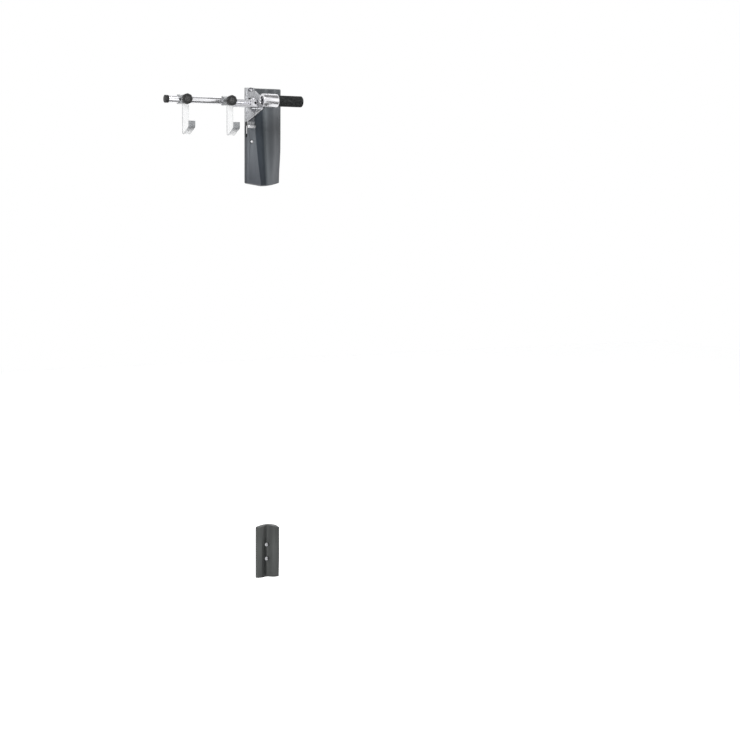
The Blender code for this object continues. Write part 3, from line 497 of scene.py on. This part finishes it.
def moulded_plastic(name, tones, tints, trough):
    """Plastic with a spark-eroded grain and flow marks, with painted shade down the left side of its trough.
    """
    look = Look(name, roughness=0.46, specular=0.22)
    flow = look.noise(FLOW_SCALE, stretch=FLOW_STRETCH)
    top, bottom = trough[:2]
    down = look.along("Z", top - SHADE_TOP[0], top - SHADE_TOP[1])
    place = look.across(*trough)
    shade_share = look.product(look.facing("Y", *FACING_FRONT), down)
    # Painted shade down the trough's left slope
    shaded_tones = look.mixed(shade_share, tones[0], look.bands(place, tuple(zip(SHADE_PLACES, tones))))
    left_share = look.ramp(look.product(place, shade_share), FULL_SHARE, NO_SHARE, *LOW_ACROSS)
    # Painted shade towards the bottom on the left
    low = look.product(look.along("Z", lerp(top, bottom, LOW_START), bottom), left_share)
    shaded_tones = look.shaded(shaded_tones, look.fade(low, NO_TINT, tints["low"]))
    # Darker towards the top
    shaded_tones = look.shaded(shaded_tones, look.fade(down, tints["top"], NO_TINT))
    # Painted shade on the left side wall
    shaded_tones = look.shaded(shaded_tones, look.fade(look.facing("X", *FACING_LEFT), NO_TINT, tints["side"]))
    look.colour(look.shaded(shaded_tones, look.ramp(flow, *FLOW_TINTS)))
    grain = look.noise(PAD_GRAIN_SCALE, detail=2.0)
    look.roughness(grain, low=0.38, high=0.56)
    look.bump(flow, depth=0.0004, strength=0.25)
    look.bump(grain, depth=0.00005, strength=0.7)
    return look.material


def black_plastic():
    """Matt moulded black, greyer where it is worn."""
    look = Look("black_plastic", roughness=0.42, specular=0.25)
    wear = look.noise(WORN_SCALE, detail=4.0)
    look.colour(look.ramp(wear, BLACK, BLACK_WORN, low_at=0.45, high_at=0.80))
    look.roughness(wear, low=0.34, high=0.52)
    look.bump(look.noise(BLACK_GRAIN_SCALE, detail=2.0), depth=0.00003, strength=0.6)
    return look.material


def black_satin():
    """Smoother black of the moulded relief, with rubbed high spots."""
    look = Look("black_satin", roughness=0.32, specular=0.4)
    rub = look.noise(RUBBED_SCALE)
    look.colour(look.ramp(rub, BLACK, BLACK_RUBBED, low_at=0.40, high_at=0.75))
    look.roughness(rub, low=0.24, high=0.42)
    look.bump(look.noise(BLACK_GRAIN_SCALE, detail=2.0), depth=0.00002, strength=0.5)
    return look.material


def clear_plastic(side):
    """Clear strap with painted shade on its edges and collar, greyer and less clear towards the lip."""
    look = Look("clear_plastic_" + side, roughness=0.14)
    low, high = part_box(side + "_knob")
    middle = (low[0] + high[0]) / 2
    # Greyer and less clear towards the lip
    reach = look.along("Y", STRAP_FRONT, LIP_BACK)
    lip_grey = look.product(reach, reach)
    haze = look.noise(HAZE_SCALE)
    # Painted shade along the strap's edges, more on the left one, and on the collar
    left = look.along("X", middle - STRAP_HALF + STRAP_EDGE, middle - STRAP_HALF)
    right = look.along("X", middle + STRAP_HALF - STRAP_EDGE, middle + STRAP_HALF)
    edge = look.largest(look.product(left, LEFT_EDGE_COVER), look.product(right, RIGHT_EDGE_COVER))
    collar = look.product(look.along("Y", COLLAR_FRONT - COLLAR_BLEND, COLLAR_FRONT), COLLAR_COVER)
    grey = look.largest(look.largest(lip_grey, edge), collar)
    look.colour(look.fade(grey, CLEAR, CLEAR_GREY))
    cover = look.node("ShaderNodeMapRange")
    cover.inputs["To Min"].default_value = CLEAR_COVER[0]
    cover.inputs["To Max"].default_value = CLEAR_COVER[1]
    look.link(look.product(grey, look.ramp(haze, *HAZE)), cover.inputs["Value"])
    look.link(cover.outputs["Result"], look.shader.inputs["Alpha"])
    look.roughness(haze, low=0.10, high=0.22)
    look.bump(haze, depth=0.00004, strength=0.6)
    return look.material


LOOKS = {
    "silver": hammered_silver(),
    "aluminium": polished_aluminium("polished_aluminium", ALUMINIUM_DULL, ALUMINIUM),
    "yoke": polished_aluminium("milled_aluminium", YOKE_DULL, YOKE),
    "tube": drawn_metal("satin_tube", ALUMINIUM_DULL, ALUMINIUM, roughness=0.22, metallic=0.85,
                        sheen=(0.16, 0.28)),
    "highlight": drawn_metal("painted_highlight", HIGHLIGHT_DULL, HIGHLIGHT_PALE, roughness=0.30, metallic=0.2,
                         sheen=(0.24, 0.38)),
    "edge_highlight": drawn_metal("painted_edge_highlight", BEAD_HIGHLIGHT_DULL, BEAD_HIGHLIGHT, roughness=0.30, metallic=0.2,
                        sheen=(0.24, 0.38)),
    "steel": clouded_steel("zinc_steel", STEEL_DULL, STEEL, roughness=0.30, metallic=1.0,
                           sheen=(0.24, 0.42)),
    "dark_steel": clouded_steel("dark_steel", STEEL_BLUED, STEEL_DULL, roughness=0.34, metallic=0.9,
                                sheen=(0.28, 0.46)),
    "rubber": black_rubber(),
    "pad": moulded_plastic("moulded_grey", PAD_TONES, PAD_TINTS, FRONT_TROUGH),
    "rear_pad": moulded_plastic("moulded_dark", REAR_TONES, REAR_TINTS, REAR_TROUGH),
    "black": black_plastic(),
    "black_satin": black_satin(),
    "clear_left": clear_plastic("left"),
    "clear_right": clear_plastic("right"),
}
NODE_LOOK = {
    "wall_bracket": "silver",
    "hook_boss": "aluminium",
    "bar_yoke": "yoke",
    "bar_tube": "tube",
    "hook_sleeve": "rubber",
    "front_pad": "pad",
    "rear_pad": "rear_pad",
    "bar_end_cap": "black",
    "pivot_washer": "black",
    "yoke_grub_screw": "black",
    "left_knob": "black",
    "right_knob": "black",
    "pivot_nut": "dark_steel",
    "bracket_screw": "dark_steel",
    "hook_bolt": "dark_steel",
    # The pad screw's bright head is a painted highlight
    "front_pad_screw": "highlight",
    "left_hook": "clear_left",
    "right_hook": "clear_right",
    "left_clamp_liner": "clear_left",
    "right_clamp_liner": "clear_right",
}
EDGE_WIDTH = {
    "wall_bracket": 0.0005,
    "hook_boss": 0.0004,
    "bar_yoke": 0.0003,
    "front_pad": 0.0006,
    "rear_pad": 0.0006,
    "left_hook": 0.0004,
    "right_hook": 0.0004,
    "left_knob": 0.0003,
    "right_knob": 0.0003,
}
SMALL_EDGE = 0.00015


def soften(piece, width):
    """Round the sharp edges a little, so that they catch the light, and shade the round faces smooth."""
    weld = piece.modifiers.new("Weld", "WELD")
    weld.merge_threshold = WELD
    edge = piece.modifiers.new("Edges", "BEVEL")
    edge.width = width
    edge.segments = EDGE_SEGMENTS
    edge.limit_method = "ANGLE"
    edge.angle_limit = SMOOTH_ANGLE
    edge.harden_normals = True
    piece.data.shade_smooth()


def dress(piece, look):
    """Give a piece one of the looks, in place of its materials."""
    piece.data.materials.clear()
    piece.data.materials.append(LOOKS[look])


for node_name, node in NODES.items():
    soften(node, EDGE_WIDTH.get(node_name, SMALL_EDGE))
    dress(node, NODE_LOOK.get(node_name, "steel"))


# Pieces with the fine forms that the solids leave out, and bright pieces of painted highlight and dark
# pieces of painted shade


def grid_piece(name, rings, ends=True):
    """A skin over rings of points, each ring with the same count. Each end is closed by one face."""
    shape = bmesh.new()
    loops = [[shape.verts.new(point) for point in ring] for ring in rings]
    count = len(rings[0])
    for low, high in zip(loops, loops[1:]):
        for j in range(count):
            k = (j + 1) % count
            shape.faces.new((low[j], low[k], high[k], high[j]))
    if ends:
        shape.faces.new(loops[0])
        shape.faces.new(loops[-1])
    bmesh.ops.remove_doubles(shape, verts=shape.verts, dist=WELD)
    bmesh.ops.recalc_face_normals(shape, faces=shape.faces)
    mesh = bpy.data.meshes.new(name)
    shape.to_mesh(mesh)
    shape.free()
    mesh.shade_smooth()
    piece = bpy.data.objects.new(name, mesh)
    bpy.context.scene.collection.objects.link(piece)
    return piece


def seat(piece, look, body):
    """Give a piece its material and the body that it moves with."""
    dress(piece, look)
    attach(piece, body)


def ramp_up(value, low, high):
    """Smooth step from 0 at the low value to 1 at the high one."""
    share = min(max((value - low) / (high - low), 0.0), 1.0)
    return share * share * (3 - 2 * share)


def block_height(share):
    """Height of one raised grip block over its pitch, from 0 in the groove to 1 on top."""
    return ramp_up(share, *BLOCK_RISE) - ramp_up(share, *BLOCK_FALL)


def around_x(x, radius, height_at, centre):
    """Ring of points round the X axis. The height of the grip blocks is added to the radius."""
    ring = []
    count = GRIP_BLOCKS * len(BLOCK_SHARES)
    for j in range(count):
        share = BLOCK_SHARES[j % len(BLOCK_SHARES)]
        angle = math.tau * (j // len(BLOCK_SHARES) + share) / GRIP_BLOCKS
        reach = radius + height_at * block_height(share)
        ring.append((x, centre[1] + reach * math.cos(angle), centre[2] + reach * math.sin(angle)))
    return ring


def make_sleeve():
    """Rubber cup with small grip blocks in rows, and a plain rounded band at its end."""
    low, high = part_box("hook_sleeve")
    centre = [(a + b) / 2 for a, b in zip(low, high)]
    top = (high[2] - low[2]) / 2
    base = top - GRIP_HEIGHT
    left, right = low[0], high[0]
    chamfer, fall = MOUTH_CHAMFER
    rings = [(left + MOUTH_DEPTH, ROD_CLEAR, 0.0), (left, ROD_CLEAR + MOUTH_FLARE, 0.0),
             (left, base - fall, 0.0), (left + chamfer, base, 0.0)]
    rows = int((right - SLEEVE_BAND - left) / GRIP_PITCH)
    first = right - SLEEVE_BAND - rows * GRIP_PITCH
    for i in range(rows):
        for share in BLOCK_SHARES:
            rings.append((first + (i + share) * GRIP_PITCH, base, GRIP_HEIGHT * block_height(share)))
    band = right - SLEEVE_BAND
    rings += [(band, base, 0.0), (band + BAND_RISE, top - BAND_CROWN, 0.0), (band + 2 * BAND_RISE, top, 0.0)]
    for i in range(END_STEPS):
        angle = math.pi / 2 * i / END_STEPS
        x = right - END_ROUND * (1 - math.sin(angle))
        rings.append((x, top - END_ROUND * (1 - math.cos(angle)), 0.0))
    rings += [(right, top - END_ROUND, 0.0), (right, top * END_FLAT, 0.0),
              (right - END_DISH, top * END_MIDDLE, 0.0)]
    sleeve = grid_piece("grip_sleeve", [around_x(x, radius, height, centre) for x, radius, height in rings])
    seat(sleeve, "rubber", "wall_mount")
    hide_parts("hook_sleeve")


def make_thread(name, body, centre, start, end, radius, depth, pitch):
    """Screw thread standing along Z: a helix pressed into a rod, with a tapered first turn."""
    rings = []
    turns = (end - start) / pitch
    count = max(int(turns * THREAD_ROWS), 2)
    for i in range(count + 1):
        z = start + (end - start) * i / count
        ring = []
        for j in range(THREAD_STEPS):
            share = j / THREAD_STEPS
            phase = ((z - start) / pitch - share) % 1.0
            tooth = 1 - abs(2 * phase - 1)
            taper = ramp_up(i / count, 0.0, THREAD_TAPER)
            reach = radius - depth * (1 - tooth) - depth * THREAD_POINT * (1 - taper)
            angle = math.tau * share
            ring.append((centre[0] + reach * math.cos(angle), centre[1] + reach * math.sin(angle), z))
        rings.append(ring)
    thread = grid_piece(name, rings)
    seat(thread, "steel", body)


def swirl_height(radius, angle):
    """Height on the knob's face: a low hub and three curved ribs that run out towards the rim."""
    hub = 1 - ramp_up(radius, *HUB_EDGE)
    wave = (1 + math.cos(SWIRL_RIBS * angle + SWIRL_TWIST * radius / SWIRL_RADIUS)) / 2
    rib = ramp_up(wave, *RIB_EDGE) * ramp_up(radius, *RIB_START) * (1 - ramp_up(radius, *RIB_END))
    return max(hub, rib)


def make_knob_face(side):
    """Moulded relief in the dish of a knob."""
    low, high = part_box(side + "_knob")
    centre = [(a + b) / 2 for a, b in zip(low, high)]
    floor = low[1] + DISH_DEPTH
    rings = []
    for i in range(SWIRL_RINGS + 1):
        radius = SWIRL_RADIUS * (1 - i / (SWIRL_RINGS + 1))
        ring = []
        for j in range(SWIRL_STEPS):
            angle = math.tau * j / SWIRL_STEPS
            y = floor - RELIEF_LIFT - SWIRL_HEIGHT * swirl_height(radius, angle)
            ring.append((centre[0] + radius * math.cos(angle), y, centre[2] + radius * math.sin(angle)))
        rings.append(ring)
    rim = [(x, floor + RELIEF_ROOT, z) for x, _, z in rings[0]]
    face = grid_piece(side + "_knob_relief", [rim] + rings)
    seat(face, "black_satin", side + "_clamp_knob")


def make_collar_pad(side):
    """Dark rubber grip pad that shows at the left end of a hook's collar."""
    knob_low, knob_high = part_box(side + "_knob")
    x = (knob_low[0] + knob_high[0]) / 2 - GRIP_PAD_OFFSET
    z = (knob_low[2] + knob_high[2]) / 2
    rings = []
    shoulder = GRIP_PAD_PROUD * GRIP_PAD_SHOULDER
    for depth, grow in ((0.0, 0.0), (shoulder, 0.0), (GRIP_PAD_PROUD, -GRIP_PAD_EDGE)):
        ring = []
        for j in range(GRIP_PAD_STEPS):
            angle = math.tau * j / GRIP_PAD_STEPS
            square = max(abs(math.cos(angle)), abs(math.sin(angle))) ** GRIP_PAD_CORNER
            reach = (GRIP_PAD_HALF + grow) / square
            dx = reach * math.cos(angle)
            dz = reach * math.sin(angle)
            bow = COLLAR_RADIUS - math.sqrt(COLLAR_RADIUS ** 2 - dz ** 2)
            ring.append((x + dx, COLLAR_FRONT - depth + bow, z + dz))
        rings.append(ring)
    pad = grid_piece(side + "_collar_pad", rings)
    seat(pad, "rubber", side + "_strap_hook")


def plate_piece(name, outline, low, high, axis):
    """Thin plate with a small rounded edge. Its outline lies across the axis, from low to high along it."""
    middle = Vector([sum(values) / len(outline) for values in zip(*outline)])
    rings = []
    levels = ((low, PLATE_EDGE), (low + PLATE_EDGE, 0.0), (high - PLATE_EDGE, 0.0), (high, PLATE_EDGE))
    for depth, shrink in levels:
        ring = []
        for point in outline:
            inward = middle - Vector(point)
            one, other = Vector(point) + inward.normalized() * shrink
            ring.append((depth, one, other) if axis == "X" else (one, depth, other))
        rings.append(ring)
    return grid_piece(name, rings)


def turned_piece(name, profile, centre, axis, steps=TURN_STEPS):
    """Round piece about an axis through the centre. The profile's points are (place along it, radius)."""
    rings = []
    for depth, radius in profile:
        ring = []
        for j in range(steps):
            one = radius * math.cos(math.tau * j / steps)
            other = radius * math.sin(math.tau * j / steps)
            ring.append(Vector(centre) + Vector((depth, one, other) if axis == "X" else (one, depth, other)))
        rings.append(ring)
    return grid_piece(name, rings, ends=profile[0] != profile[-1])


def ring_profile(low, high, inner, outer):
    """Closed profile of a flat ring."""
    return [(low, inner), (high, inner), (high, outer), (low, outer), (low, inner)]


def middle_of(node):
    """Middle of a solid's box."""
    return [(low + high) / 2 for low, high in zip(*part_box(node))]


def make_screw_highlight(node, radius, depth, proud):
    """Bright centre that fills the socket of a round screw head: a painted highlight."""
    x, _, z = middle_of(node)
    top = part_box(node)[0][1]
    dome = [(top - proud * height, radius * share) for height, share in PIN_DOME]
    pin = turned_piece(node + "_highlight_pin", [(top + depth, radius)] + dome, (x, 0.0, z), "Y")
    seat(pin, "highlight", "wall_mount")


def make_screw_shade_ring(node, faces, radii):
    """Black ring round a screw head: painted shade."""
    x, _, z = middle_of(node)
    ring = turned_piece(node + "_shade_ring", ring_profile(*faces, *radii), (x, 0.0, z), "Y")
    seat(ring, "rubber", "wall_mount")


def lay_along(piece, start, end):
    """Move the points of a piece that stands along Y so that it runs from one place to another."""
    way = Vector(end) - Vector(start)
    turn = way.to_track_quat("Y", "Z").to_matrix()
    for point in piece.data.vertices:
        point.co = Vector(start) + turn @ point.co


def make_recess_parts():
    """Black ring between bolt head and boss, and the dark inside of the bolt's socket: painted shade in the
    recess.
    """
    centre = (0.0, *middle_of("hook_boss")[1:])
    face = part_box("hook_bolt")[0][0]
    back, front = [face + depth for depth in RECESS_RING[0]]
    ring = turned_piece("recess_shade_ring", ring_profile(back, front, *RECESS_RING[1]), centre, "X")
    seat(ring, "rubber", "wall_mount")
    profile = [(face + depth, SOCKET_RADIUS) for depth in SOCKET_SHADE]
    shade = turned_piece("bolt_socket_shade", profile, centre, "X", steps=SOCKET_SIDES)
    seat(shade, "rubber", "wall_mount")


def oblong(middle, half, radius):
    """Outline of a slot with round ends. Half is the distance from its middle to the centre of each end."""
    points = []
    for side in (1, -1):
        for i in range(SLOT_STEPS + 1):
            angle = math.pi * i / SLOT_STEPS - math.pi / 2
            points.append((middle[0] + side * (half + radius * math.cos(angle)),
                           middle[1] + side * radius * math.sin(angle)))
    return points


def make_ledge_parts():
    """Bright strip on the pad's ledge with its tail, a painted highlight, and black beside them, painted
    shade in the notch.
    """
    highlight = grid_piece("ledge_highlight", [[(x, *point) for point in LEDGE_HIGHLIGHT_PROFILE] for x in LEDGE_HIGHLIGHT_ENDS])
    seat(highlight, "highlight", "wall_mount")
    tail = plate_piece("ledge_highlight_tail", TAIL_OUTLINE, TAIL_FACE, TAIL_FACE + TAIL_THICKNESS, "Y")
    seat(tail, "highlight", "wall_mount")
    # Black piece of painted shade where the notch opens into the pad
    notch_shade = plate_piece("side_notch_shade", NOTCH_SHADE_OUTLINE, NOTCH_SHADE_LEFT, NOTCH_SHADE_LEFT + NOTCH_SHADE_THICKNESS, "X")
    seat(notch_shade, "rubber", "wall_mount")


def make_slot_shade():
    """Dark filling of the web's slot: painted shade."""
    slot = oblong(SLOT_MIDDLE, SLOT_HALF - SLOT_RADIUS, SLOT_RADIUS)
    slot_shade = plate_piece("slot_shade_fill", slot, *SLOT_FACES, "X")
    seat(slot_shade, "rubber", "wall_mount")


def make_web_edge_highlight():
    """Bright bead along the lower edge of the web: a painted highlight of that edge."""
    edge_highlight = turned_piece("web_edge_highlight", BEAD_PROFILE, (0.0, 0.0, 0.0), "Y", steps=BEAD_STEPS)
    lay_along(edge_highlight, BEAD_START, BEAD_END)
    seat(edge_highlight, "edge_highlight", "wall_mount")


make_sleeve()
make_ledge_parts()
make_screw_highlight("bracket_screw", *BRACKET_PIN)
make_screw_highlight("front_pad_screw", *PAD_PIN)
make_screw_shade_ring("bracket_screw", *BRACKET_SHADE_RING)
make_screw_shade_ring("front_pad_screw", *PAD_SHADE_RING)
make_web_edge_highlight()
make_recess_parts()
make_slot_shade()
make_thread("pivot_thread", "wall_mount", PIVOT, PIVOT_TIP, NUT_UNDERSIDE, *PIVOT_THREAD)
for knob_side in ("left", "right"):
    make_knob_face(knob_side)
    make_collar_pad(knob_side)


# Camera, light and floor


def make_camera():
    """Camera at the place, and with the turn, that the photograph was taken from."""
    flat = math.cos(CAMERA_PITCH)
    back = Vector((math.sin(CAMERA_YAW) * flat, -math.cos(CAMERA_YAW) * flat, math.sin(CAMERA_PITCH)))
    level = Vector((math.cos(CAMERA_YAW), math.sin(CAMERA_YAW), 0.0))
    up = back.cross(level)
    right = math.cos(CAMERA_ROLL) * level + math.sin(CAMERA_ROLL) * up
    top = -math.sin(CAMERA_ROLL) * level + math.cos(CAMERA_ROLL) * up
    data = bpy.data.cameras.new("photo_camera")
    data.lens = CAMERA_LENS
    data.sensor_width = SENSOR
    camera = bpy.data.objects.new("photo_camera", data)
    turn = Matrix((right, top, back)).transposed()
    camera.matrix_world = Matrix.Translation(CAMERA_PLACE) @ turn.to_4x4()
    bpy.context.scene.collection.objects.link(camera)
    bpy.context.scene.camera = camera


def area_light(name, place, target, size, watts):
    """Square soft lamp that points at a target."""
    data = bpy.data.lights.new(name, "AREA")
    data.shape = "SQUARE"
    data.size = size
    data.energy = watts
    light = bpy.data.objects.new(name, data)
    light.location = place
    direction = Vector(target) - Vector(place)
    light.rotation_euler = direction.to_track_quat("-Z", "Y").to_euler()
    bpy.context.scene.collection.objects.link(light)


def flag(name, centre, facing, width, height):
    """Dark studio card for mirror-like surfaces alone: it throws no shadow and stays out of the picture."""
    shape = bmesh.new()
    bmesh.ops.create_grid(shape, x_segments=1, y_segments=1, size=0.5)
    mesh = bpy.data.meshes.new(name)
    shape.to_mesh(mesh)
    shape.free()
    card = bpy.data.objects.new(name, mesh)
    card.location = centre
    card.scale = (width, height, 1.0)
    card.rotation_euler = (Vector(facing) - Vector(centre)).to_track_quat("Z", "Y").to_euler()
    for rays in ("camera", "diffuse", "transmission", "volume_scatter", "shadow"):
        setattr(card, "visible_" + rays, False)
    bpy.context.scene.collection.objects.link(card)
    look = Look(name + "_cloth", roughness=0.9, specular=0.0)
    look.colour(look.ramp(look.noise(CLOTH_SCALE), *FLAG_TONES))
    mesh.materials.append(look.material)


def seen_share(tree):
    """1 for the rays of the camera, gloss and glass, 0 for those that carry light to a dull surface."""
    rays = tree.nodes.new("ShaderNodeLightPath")
    seen = rays.outputs["Is Camera Ray"]
    for name in ("Is Glossy Ray", "Is Transmission Ray"):
        either = tree.nodes.new("ShaderNodeMath")
        either.operation = "MAXIMUM"
        tree.links.new(seen, either.inputs[0])
        tree.links.new(rays.outputs[name], either.inputs[1])
        seen = either.outputs["Value"]
    return seen


def make_world():
    """Dim grey studio that lights the object, and a white background for the camera, gloss and glass."""
    world = bpy.data.worlds.new("studio")
    world.use_nodes = True
    bpy.context.scene.world = world
    tree = world.node_tree
    lit = tree.nodes["Background"]
    lit.inputs["Color"].default_value = (*STUDIO_GREY, 1.0)
    lit.inputs["Strength"].default_value = STUDIO_STRENGTH
    white = tree.nodes.new("ShaderNodeBackground")
    white.inputs["Color"].default_value = (*WHITE, 1.0)
    mix = tree.nodes.new("ShaderNodeMixShader")
    tree.links.new(seen_share(tree), mix.inputs["Fac"])
    tree.links.new(lit.outputs["Background"], mix.inputs[1])
    tree.links.new(white.outputs["Background"], mix.inputs[2])
    tree.links.new(mix.outputs["Shader"], tree.nodes["World Output"].inputs["Surface"])


def make_floor():
    """Pale floor, whose glow is for the camera, gloss and glass alone and hides most of the shadow."""
    shape = bmesh.new()
    bmesh.ops.create_grid(shape, x_segments=1, y_segments=1, size=FLOOR_SIZE / 2)
    mesh = bpy.data.meshes.new("floor")
    shape.to_mesh(mesh)
    shape.free()
    floor = bpy.data.objects.new("floor", mesh)
    floor.location = (0.0, 0.0, FLOOR_HEIGHT)
    bpy.context.scene.collection.objects.link(floor)
    look = Look("floor_white", roughness=0.9)
    look.colour(look.ramp(look.noise(FLOOR_SCALE), *FLOOR_TONES))
    look.shader.inputs["Emission Color"].default_value = (*WHITE, 1.0)
    look.link(look.product(seen_share(look.tree), FLOOR_GLOW), look.shader.inputs["Emission Strength"])
    mesh.materials.append(look.material)


make_camera()
make_world()
make_floor()
for lamp in LAMPS:
    area_light(*lamp)
for card in FLAGS:
    flag(*card)

bpy.context.scene.view_settings.view_transform = "Standard"
